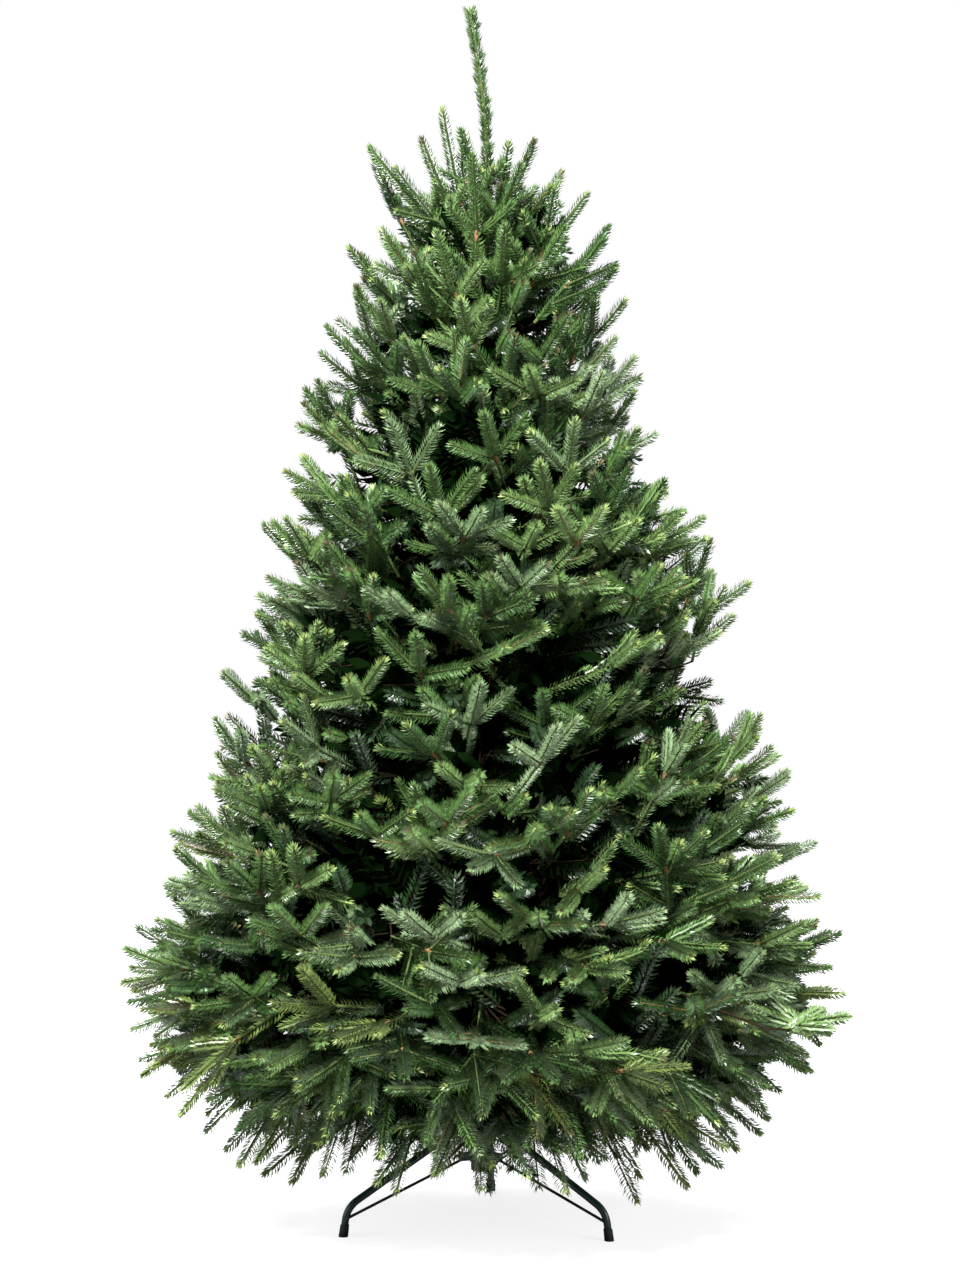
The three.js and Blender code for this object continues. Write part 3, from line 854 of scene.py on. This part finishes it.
def heart_shoots(rng, on_limbs):
    """Shaded shoots, each on a twig from the nearest limb."""
    shoots = []
    round_pole = []
    for height in np.linspace(*HEART_HEIGHTS, POLE_SHOOTS):
        angle, out = rng.uniform(0, 2 * math.pi), rng.uniform(*POLE_SHOOT_OUT)
        round_pole.append((np.array((out * math.cos(angle), out * math.sin(angle), height)), 1.0))
    for place, more in heart_places(rng) + round_pole:
        near = on_limbs[np.argmin(np.linalg.norm(on_limbs - place, axis=1))]
        away = unit(np.array((place[0], place[1], HEART_RISE * np.hypot(*place[:2]))))
        heading = unit(away + rng.normal(0, HEART_DRIFT, 3))
        length = rng.uniform(*HEART_LENGTH)
        first = place - heading * length / 2
        twigs.add(np.stack([near, first]), UP, (TWIG_RADIUS, TWIG_RADIUS), TWIG_SIDES, BROWN)
        # the heart's needles are painted shade: near-black on the inmost large needles, very dark green
        # elsewhere
        habit, shade = (INMOST_SHADE_SHEETS, "inner") if more > INMOST_DEPTH else (INNER, "shaded")
        upper = across(heading, UP)
        shoots.append(Shoot(first, heading, upper, length, 0.0, habit, shade, shade, BROWN))
    return shoots


heart = heart_shoots(rng, np.concatenate(limb_points))
add_twigs(heart)
heart_piece = needle_mesh("needles_heart", heart, rng)
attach(heart_piece, "root")
print("shaded shoots", len(heart), "faces", len(heart_piece.data.polygons))

# %% [markdown]
# The leader and the pole are upright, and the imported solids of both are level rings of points, one above
# the other. The middle of each ring is measured, so that what replaces them keeps their slight lean.

# %% The middle line of an upright node
LEVEL = 0.0004  # points this near in height belong to one ring
RING_LEAST = 5


def rings_of(node):
    """The middle and the mean radius of each level ring of an upright node, from its foot up."""
    points = corner_points(node)
    points = points[np.argsort(points[:, 2])]
    breaks = np.flatnonzero(np.diff(points[:, 2]) > LEVEL) + 1
    rings = [ring for ring in np.split(points, breaks) if len(ring) >= RING_LEAST]
    middles = np.array([ring.mean(0) for ring in rings])
    radii = np.array([np.linalg.norm(ring - middle, axis=1).mean() for ring, middle in zip(rings, middles)])
    return middles, radii


print("rings of the leader", len(rings_of("leader")[0]), "and of the trunk", len(rings_of("trunk")[0]))

# %% [markdown]
# The leader is the one shoot that the tree ends in. It is an upright stem with short needles pressed
# forward all round, and small tufts stand off it, most to the left and right by turns. One shoot could not
# follow its middle line, as a shoot bends evenly, so each stretch between two rings is a shoot of its own.

# %% The leader
LEADER = Habit(rows=8, pitch=0.0048, spread=157.5, flank_lean=50, top_lean=50, long=0.0195, wide=0.0036,
               turn=22.5)
TUFT = Habit(rows=6, pitch=0.0040, spread=150, flank_lean=46, top_lean=44, long=0.0125, wide=0.0026)
LEADER_BELOW = 0.150  # its needles go on down the pole
MID_ABOVE, BRIGHT_ABOVE = 2, -4  # the points of its middle line above which its greens change
TUFTS = 27
TUFT_PLACES = (0.04, 0.95)  # the first and the last one, as shares of the leader
TUFT_DRIFT = 0.5  # how far round one stands from its place, in radians
TUFT_LENGTH = (0.011, 0.018)
TUFT_SPLAY = 0.62
FRONT = np.array((0.0, -1.0, 0.0))
LEFT = np.array((-1.0, 0.0, 0.0))


def run_along(line):
    """How far along a line each of its points is."""
    steps = np.linalg.norm(np.diff(line, axis=0), axis=1)
    return np.concatenate([(0.0,), np.cumsum(steps)])


leader_line, _ = rings_of("leader")
leader_line[-1] -= TUFT_END * unit(leader_line[-1] - leader_line[-2])
leader_line = np.concatenate([leader_line[:1] - LEADER_BELOW * UP, leader_line])
leader_shoots = []
for low, high in zip(leader_line[:-1], leader_line[1:]):
    way = unit(high - low)
    shade = "deep"
    if high[2] > leader_line[MID_ABOVE][2]:
        shade = "mid"
    if high[2] > leader_line[BRIGHT_ABOVE][2]:
        shade = "bright"
    leader_shoots.append(Shoot(low, way, across(way, FRONT), np.linalg.norm(high - low), 0.0, LEADER,
                               shade, shade, GREEN))
stem_count = len(leader_shoots)
run = run_along(leader_line)
for i, place in enumerate(np.linspace(*TUFT_PLACES, TUFTS) * run[-1]):
    foot = np.array([np.interp(place, run, leader_line[:, k]) for k in range(3)])
    quarter = math.pi / 2 if i % 3 == 2 else 0.0  # two in three stand left or right, the others front or back
    side = turned(LEFT, UP, math.pi * i + quarter + rng.normal(0, TUFT_DRIFT))
    heading = unit(UP + TUFT_SPLAY * side)
    leader_shoots.append(Shoot(foot, heading, across(heading, UP), rng.uniform(*TUFT_LENGTH), 0.0, TUFT,
                               "deep", "mid", GREEN))
leader_piece = needle_mesh("needles_leader", leader_shoots, rng)
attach(leader_piece, "root")
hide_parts("leader")
add_twigs(leader_shoots[stem_count:])
print("leader faces", len(leader_piece.data.polygons))

# %% [markdown]
# The twigs and the limbs of the whole tree become one piece each.

# %% The joined wood
twig_piece = twigs.piece("twigs", TWIG_MATERIALS)
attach(twig_piece, "root")
limb_piece = limbs.piece("limbs", TWIG_MATERIALS)
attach(limb_piece, "root")
print("twig faces", len(twig_piece.data.polygons), "limb faces", len(limb_piece.data.polygons))

# %% [markdown]
# A finish that changes from place to place is a small net of nodes: a texture, a ramp that makes colours
# of it, and the shader. It could be wired by hand in the shader editor. These helpers do the same in few
# words, so that each finish below says only what is its own.

# %% Helpers for finishes made of nodes
def finish_nodes(name, roughness, specular):
    """A new finish, with its nodes, its links and its shader."""
    material = plain(name, (1.0, 1.0, 1.0), roughness, specular)
    tree = material.node_tree
    return material, tree.nodes, tree.links, tree.nodes["Principled BSDF"]


def new_node(nodes, kind, **values):
    """A node of a kind, with values for its sockets: From_Min is the socket From Min."""
    node = nodes.new("ShaderNode" + kind)
    for socket, value in values.items():
        node.inputs[socket.replace("_", " ")].default_value = value
    return node


def colour_ramp(nodes, stops, colours):
    """A ramp between two colours, with the place of each between 0 and 1."""
    ramp = nodes.new("ShaderNodeValToRGB")
    for element, place, colour in zip(ramp.color_ramp.elements, stops, colours):
        element.position = place
        element.color = (*colour, 1)
    return ramp


def wire(links, *runs):
    """Links, each given as a node and its output, then a node and its input."""
    for source, output, target, socket in runs:
        links.new(source.outputs[output], target.inputs[socket])


# %% [markdown]
# The pole and the boughs of such a tree are moulded or wrapped to pass for bark: brown, with long shallow
# ridges. The colour is noise that is stretched along the pole, and it turns to the green of young wood in
# the thin length under the leader.

# %% Bark finish
BARK_ROUGHNESS, BARK_SPECULAR = 0.85, 0.2
STREAKS = {"Scale": 160.0, "Detail": 5.0}
STREAK_STRETCH = (1.0, 1.0, 0.22)
STREAK_STOPS = (0.34, 0.68)  # the noise is darkest below the first and lightest above the second
BARK_BUMP = {"Strength": 0.5, "Distance": 0.0006}
BARK_DARK = (0.020, 0.013, 0.008)
BARK_LIGHT = (0.125, 0.082, 0.048)
BARK_YOUNG = (0.135, 0.105, 0.038, 1)
YOUNG_FROM, YOUNG_TO = 1.76, 1.93  # heights between which the bark turns green
YOUNG_MOST = 0.75


def bark_material():
    """Streaked brown bark that grows green towards the tree's tip."""
    material, nodes, links, shader = finish_nodes("moulded_bark", BARK_ROUGHNESS, BARK_SPECULAR)
    place = new_node(nodes, "TexCoord")
    stretch = new_node(nodes, "Mapping", Scale=STREAK_STRETCH)
    streaks = new_node(nodes, "TexNoise", **STREAKS)
    browns = colour_ramp(nodes, STREAK_STOPS, (BARK_DARK, BARK_LIGHT))
    young = nodes.new("ShaderNodeMix")
    young.data_type = "RGBA"
    young.inputs["B"].default_value = BARK_YOUNG
    split = new_node(nodes, "SeparateXYZ")
    height = new_node(nodes, "MapRange", From_Min=YOUNG_FROM, From_Max=YOUNG_TO, To_Max=YOUNG_MOST)
    bump = new_node(nodes, "Bump", **BARK_BUMP)
    wire(links, (place, "Object", stretch, "Vector"), (stretch, "Vector", streaks, "Vector"),
         (streaks, "Fac", browns, "Fac"), (browns, "Color", young, "A"),
         (place, "Object", split, "Vector"), (split, "Z", height, "Value"),
         (height, "Result", young, "Factor"), (young, "Result", shader, "Base Color"),
         (streaks, "Fac", bump, "Height"), (bump, "Normal", shader, "Normal"))
    return material


moulded_bark = bark_material()
print("bark nodes", len(moulded_bark.node_tree.nodes))

# %% [markdown]
# The bark's ridges could be a bump in the finish, but the outline would stay smooth. Here they are real
# relief: each point of a fine tube is moved in or out by noise that is stretched along the tube.

# %% Tubes with relief
RIDGES = 150.0  # noise cycles across the tube, for each metre
RIDGE_STRETCH = 0.16  # of the noise along the tube
CREASE = 0.30  # share of the relief that is finer
CREASE_SCALE = 2.7  # how much finer it is
STEEP = 0.7


def relief_rod(name, middles, radii, sides, relief):
    """A closed tube through middles, its skin moved in and out by noise stretched along it."""
    ways = unit(np.gradient(middles, axis=0))
    lead = -LEFT if abs(ways[0][2]) > STEEP else UP
    upper = across(ways, lead)
    flank = np.cross(ways, upper)
    turn = np.arange(sides) * 2 * np.pi / sides
    vertices = []
    for middle, radius, out, side, place in zip(middles, radii, upper, flank, run_along(middles)):
        for angle in turn:
            spot = Vector((radius * math.cos(angle), radius * math.sin(angle), place * RIDGE_STRETCH))
            ridge = noise.noise(spot * RIDGES)
            crease = noise.noise(spot * RIDGES * CREASE_SCALE)
            reach = radius * (1 - relief + relief * (ridge * (1 - CREASE) + crease * CREASE))
            vertices.append(middle + reach * (math.cos(angle) * out + math.sin(angle) * side))
    faces = ring_quads(len(middles), sides).tolist()
    faces.append(list(range(sides))[::-1])
    faces.append([(len(middles) - 1) * sides + i for i in range(sides)])
    mesh = bpy.data.meshes.new(name)
    mesh.from_pydata([tuple(v) for v in vertices], [], faces)
    mesh.materials.append(moulded_bark)
    mesh.shade_smooth()
    piece = placed(name, mesh)
    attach(piece, "root")
    return piece


print("relief of the bark", RIDGES, "cycles a metre across,", RIDGES * RIDGE_STRETCH, "along")

# %% [markdown]
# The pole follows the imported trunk's own rings. Above the joint it goes on as a thinner rod.

# %% The pole
POLE_STEP = 0.007
POLE_SIDES = 20
POLE_RELIEF = 0.07
THIN_ABOVE = ((1.69, 1.712, 1.86, 1.92), (1.0, 0.60, 0.55, 0.70))  # above the joint the pole is a thin rod

pole_line, pole_radii = rings_of("trunk")
heights = np.arange(pole_line[0][2], pole_line[-1][2], POLE_STEP)
middles = np.stack([np.interp(heights, pole_line[:, 2], pole_line[:, k]) for k in range(3)], 1)
radii = np.interp(heights, pole_line[:, 2], pole_radii) * np.interp(heights, *THIN_ABOVE)
pole = relief_rod("pole", middles, radii, POLE_SIDES, POLE_RELIEF)
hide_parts("trunk")
print("pole faces", len(pole.data.polygons))

# %% [markdown]
# A bough is one straight tapering limb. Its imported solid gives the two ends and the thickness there, and
# the piece that replaces it is the same rod with the bark's relief.

# %% The boughs
BOUGH_STEPS = 26
BOUGH_SIDES = 10
BOUGH_RELIEF = 0.12

for mass in masses:
    name = mass.removeprefix("foliage_")
    foot, end = bough_ends("bough_" + name)
    axis = unit(end - foot)
    points = corner_points("bough_" + name) - foot
    place = points @ axis
    off = np.linalg.norm(points - place[:, None] * axis, axis=1)
    thick = off[place < place.mean()].max()
    thin = off[place > place.max() - END_FACE].max()
    middles = foot + np.linspace(0, 1, BOUGH_STEPS)[:, None] * (end - foot)
    bough = relief_rod("bough_wood_" + name, middles, np.linspace(thick, thin, BOUGH_STEPS), BOUGH_SIDES,
                       BOUGH_RELIEF)
    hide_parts("bough_" + name)
print("boughs", len(masses))

# %% [markdown]
# The stand is bent steel tube with a satin green paint, thin black braces and black rubber feet. Paint on
# steel is nearly smooth: its colour and gloss drift a little, and it has a fine orange-peel surface. Rubber
# is dull and speckled.

# %% Stand finishes
DRIFT_STOPS = (0.30, 0.72)
DRIFT_DETAIL = 4.0
PEEL_SCALE = 9  # how much finer the bump is than the drift of the colour
PEEL_STRENGTH = 0.3


def speckled(name, dark, light, roughness, scale, bump_depth, specular):
    """A finish whose colour and roughness drift by noise between two values, with a fine bump."""
    material, nodes, links, shader = finish_nodes(name, roughness[0], specular)
    place = new_node(nodes, "TexCoord")
    drift = new_node(nodes, "TexNoise", Scale=scale, Detail=DRIFT_DETAIL)
    colours = colour_ramp(nodes, DRIFT_STOPS, (dark, light))
    gloss = new_node(nodes, "MapRange", To_Min=roughness[0], To_Max=roughness[1])
    peel = new_node(nodes, "TexNoise", Scale=scale * PEEL_SCALE)
    bump = new_node(nodes, "Bump", Strength=PEEL_STRENGTH, Distance=bump_depth)
    wire(links, (place, "Object", drift, "Vector"), (place, "Object", peel, "Vector"),
         (drift, "Fac", colours, "Fac"), (colours, "Color", shader, "Base Color"),
         (drift, "Fac", gloss, "Value"), (gloss, "Result", shader, "Roughness"),
         (peel, "Fac", bump, "Height"), (bump, "Normal", shader, "Normal"))
    return material


green_paint = speckled("satin_green_paint", (0.004, 0.018, 0.013), (0.010, 0.034, 0.025),
                       (0.30, 0.46), 55, 0.0002, 0.5)
black_paint = speckled("black_paint", (0.004, 0.005, 0.005), (0.010, 0.012, 0.011),
                       (0.38, 0.55), 80, 0.0002, 0.4)
black_rubber = speckled("black_rubber", (0.008, 0.010, 0.010), (0.022, 0.024, 0.024),
                        (0.62, 0.82), 140, 0.0003, 0.3)
ring_plastic = speckled("joint_plastic", (0.006, 0.008, 0.007), (0.016, 0.019, 0.016),
                        (0.45, 0.60), 120, 0.0002, 0.4)
print("stand finishes", [finish.name for finish in (green_paint, black_paint, black_rubber, ring_plastic)])

# %% [markdown]
# The sleeve, the collars and the rubber feet are simple shapes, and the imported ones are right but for
# their knife-sharp edges. So each is copied, its edges are rounded by half a millimetre, and its round
# sides are shaded smooth.

# %% Rounded copies of turned and flat parts
EDGE = 0.0006  # how far the edges are rounded
SAME_POINT = 0.00001
FLAT_BELOW = math.radians(1)
SMOOTH_BELOW = math.radians(36)


def rounded_copy(node, name, material):
    """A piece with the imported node's shape, with its edges rounded and its round sides smooth."""
    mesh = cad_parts[node].data.copy()
    mesh.name = name
    work = bmesh.new()
    work.from_mesh(mesh)
    bmesh.ops.remove_doubles(work, verts=work.verts, dist=SAME_POINT)
    bmesh.ops.dissolve_limit(work, angle_limit=FLAT_BELOW, verts=work.verts, edges=work.edges)
    sharp = [edge for edge in work.edges if edge.is_manifold and edge.calc_face_angle(0) > SMOOTH_BELOW]
    bmesh.ops.bevel(work, geom=sharp, offset=EDGE, segments=2, affect="EDGES", profile=0.5,
                    clamp_overlap=True)
    bmesh.ops.triangulate(work, faces=work.faces)
    work.to_mesh(mesh)
    work.free()
    mesh.materials.clear()
    mesh.materials.append(material)
    mesh.shade_smooth()
    mesh.set_sharp_from_angle(angle=SMOOTH_BELOW)
    piece = placed(name, mesh)
    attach(piece, "root")
    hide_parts(node)
    return piece


for part in ("sleeve", "collar_low", "collar_high"):
    copy = rounded_copy("stand_" + part, part, green_paint)
    print(part, "faces", len(copy.data.polygons))

# %% [markdown]
# The legs are steel tube bent near the foot, and the braces are straight thin rods. Both are swept tubes
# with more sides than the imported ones, along the same lines.

# %% Legs and braces
LEG_RADIUS = 0.00635
LEG_LINE = ((0.0275, 0.1758), (0.255, 0.049), (0.2615, 0.004))  # radius and height: hinge, corner, foot
LEG_BEND = 0.0225  # how far from its corner a leg begins to bend
BRACE_RADIUS = 0.0025
BRACE_LINE = ((0.0252, 0.1168), (0.257, 0.0295))
STAND_TURN = -4
LEG_ANGLES = {"right": -30, "left": -150, "back": 90}
TUBE_SIDES = 24
BEND_STEPS = 12
BRACE_STEPS = 5


def round_corner(points, reach, steps):
    """A line of three points whose corner is rounded, starting at reach from it."""
    a, corner, b = (np.array(point) for point in points)
    enter = corner + reach * unit(a - corner)
    leave = corner + reach * unit(b - corner)
    t = np.linspace(0, 1, steps)[:, None]
    curve = (1 - t)**2 * enter + 2 * (1 - t) * t * corner + t**2 * leave
    return np.concatenate([a[None], enter[None] * 0.5 + a[None] * 0.5, curve, b[None]])


def upright_plane(line, degrees):
    """Points given by radius and height, turned to a leg's direction."""
    angle = math.radians(degrees + STAND_TURN)
    return np.array([(radius * math.cos(angle), radius * math.sin(angle), height) for radius, height in line])


for side, degrees in LEG_ANGLES.items():
    for kind, line, radius, material, slot in (
            ("leg", round_corner(LEG_LINE, LEG_BEND, BEND_STEPS), LEG_RADIUS, green_paint, "stand_paint"),
            ("brace", np.linspace(*BRACE_LINE, BRACE_STEPS), BRACE_RADIUS, black_paint, "brace_paint")):
        tube = Tubes()
        path = upright_plane(line, degrees)
        tube.add(path, UP, np.full(len(path), radius), TUBE_SIDES, 0, capped=True)
        piece = tube.piece(kind + "_" + side, [material])
        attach(piece, "root")
        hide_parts("stand_" + kind + "_" + side)
        print(piece.name, "faces", len(piece.data.polygons))
    rounded_copy("foot_cap_" + side, "rubber_foot_" + side, black_rubber)

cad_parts["pole_joint_ring"].data.materials[0] = ring_plastic

# %% [markdown]
# Each leg and each brace turns on a pin through its pair of lugs, with a flat head at both ends.

# %% Hinge pins
PINS = (  # distance from the axis, height, half length, radius of the shank and of the heads
    (0.0350, 0.1716, 0.0100, 0.0020, 0.0034),
    (0.0345, 0.1133, 0.0062, 0.0012, 0.0023),
)
PIN_SIDES = 12
HEAD_THICKNESS = 0.0012
HEAD_EDGE = 0.0001

pins = Tubes()
for degrees in LEG_ANGLES.values():
    angle = math.radians(degrees + STAND_TURN)
    outwards = np.array((math.cos(angle), math.sin(angle), 0.0))
    sideways = np.cross(UP, outwards)
    for out, height, half, shank, head in PINS:
        middle = out * outwards + height * UP
        neck = half - HEAD_THICKNESS
        steps = (-half, -neck, HEAD_EDGE - neck, neck - HEAD_EDGE, neck, half)
        places = [middle + step * sideways for step in steps]
        pins.add(places, UP, (head, head, shank, shank, head, head), PIN_SIDES, 0, capped=True)
pin_piece = pins.piece("hinge_pins", [black_paint])
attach(pin_piece, "root")
print("pin faces", len(pin_piece.data.polygons))

# %% [markdown]
# The tree stands on a pale floor in front of a white backdrop. The camera sees the floor as nearly white,
# a little greyer close to the tree, while the light that it throws back up stays low, so the underside of
# the skirt is dark as on the real thing.

# %% Floor
AMBIENT = 0.075  # of the room, next to a white backdrop of 1
FLOOR_HALF = 40.0
FLOOR_PALE = 0.28
FLOOR_NEAR = 0.84  # how bright the floor looks in the tree's shadow
SHADOW_RADII = (0.9, 3.2)  # where that begins and ends to fade into the backdrop

floor_mesh = bpy.data.meshes.new("floor")
floor_corners = [(x * FLOOR_HALF, y * FLOOR_HALF, 0) for x, y in ((-1, -1), (1, -1), (1, 1), (-1, 1))]
floor_mesh.from_pydata(floor_corners, [], [(0, 1, 2, 3)])
floor = placed("floor", floor_mesh)
floor_material = plain("floor_pale", (FLOOR_PALE, FLOOR_PALE, FLOOR_PALE), 0.9, 0.0)
nodes, links = floor_material.node_tree.nodes, floor_material.node_tree.links
floor_shader = nodes["Principled BSDF"]
floor_shader.inputs["Emission Color"].default_value = (1, 1, 1, 1)
place = new_node(nodes, "NewGeometry")
radius = new_node(nodes, "VectorMath")
radius.operation = "LENGTH"
fade = new_node(nodes, "MapRange", From_Min=SHADOW_RADII[0], From_Max=SHADOW_RADII[1],
                To_Min=FLOOR_NEAR, To_Max=1.0)
fade.interpolation_type = "SMOOTHSTEP"
glow = new_node(nodes, "Math")
glow.operation = "MULTIPLY"
floor_ray = new_node(nodes, "LightPath")
wire(links, (place, "Position", radius, 0), (radius, "Value", fade, "Value"), (fade, "Result", glow, 0),
     (floor_ray, "Is Camera Ray", glow, 1), (glow, "Value", floor_shader, "Emission Strength"))
floor_mesh.materials.append(floor_material)
print("floor", 2 * FLOOR_HALF, "a side")

# %% [markdown]
# The backdrop is white to the camera. It could light the tree as well, but light from all sides would make
# the gaps between the sprays grey. So to everything but the camera it is a dim room.

# %% World
world = bpy.data.worlds.new("studio")
world.use_nodes = True
nodes, links = world.node_tree.nodes, world.node_tree.links
backdrop = nodes["Background"]
backdrop.inputs["Color"].default_value = (1, 1, 1, 1)
backdrop.inputs["Strength"].default_value = 1.0
room = new_node(nodes, "Background", Color=(1, 1, 1, 1), Strength=AMBIENT)
ray = new_node(nodes, "LightPath")
mix = new_node(nodes, "MixShader")
wire(links, (ray, "Is Camera Ray", mix, "Fac"), (room, "Background", mix, 1),
     (backdrop, "Background", mix, 2), (mix, "Shader", nodes["World Output"], "Surface"))
bpy.context.scene.world = world
bpy.context.scene.view_settings.view_transform = "Standard"
print("the room is", AMBIENT, "of the backdrop")

# %% [markdown]
# The light comes from soft lamps, as in a studio. The strongest is high in front, a little to the left, so
# that the sprays shade the gaps under them. Two weak ones open up the sides, and one stands behind.

# %% Lights


def soft_light(name, place, target, size, power):
    """A square studio light that faces a point."""
    data = bpy.data.lights.new(name, "AREA")
    data.size = size
    data.energy = power
    light = placed(name, data)
    light.location = place
    light.rotation_euler = (Vector(target) - Vector(place)).to_track_quat("-Z", "Y").to_euler()


LIGHTS = (  # name, place, the point it faces, how wide it is, power
    ("key_light", (-0.8, -3.9, 4.6), (0, 0, 1.1), 1.2, 1570),
    ("fill_light", (3.4, -2.6, 2.2), (0, 0, 0.9), 1.6, 130),
    ("side_light", (-3.6, -1.6, 2.2), (0, 0, 0.9), 1.6, 95),
    ("back_light", (-0.8, 3.4, 3.8), (0, 0, 1.0), 1.8, 420),
)
for light in LIGHTS:
    soft_light(*light)
print("lights", len(LIGHTS))

# %% [markdown]
# The size of the imported model is printed.

# %% Sizes, and the end
print("packed", [tuple(round(float(x), 4) for x in c) for c in PACKED_BOX])
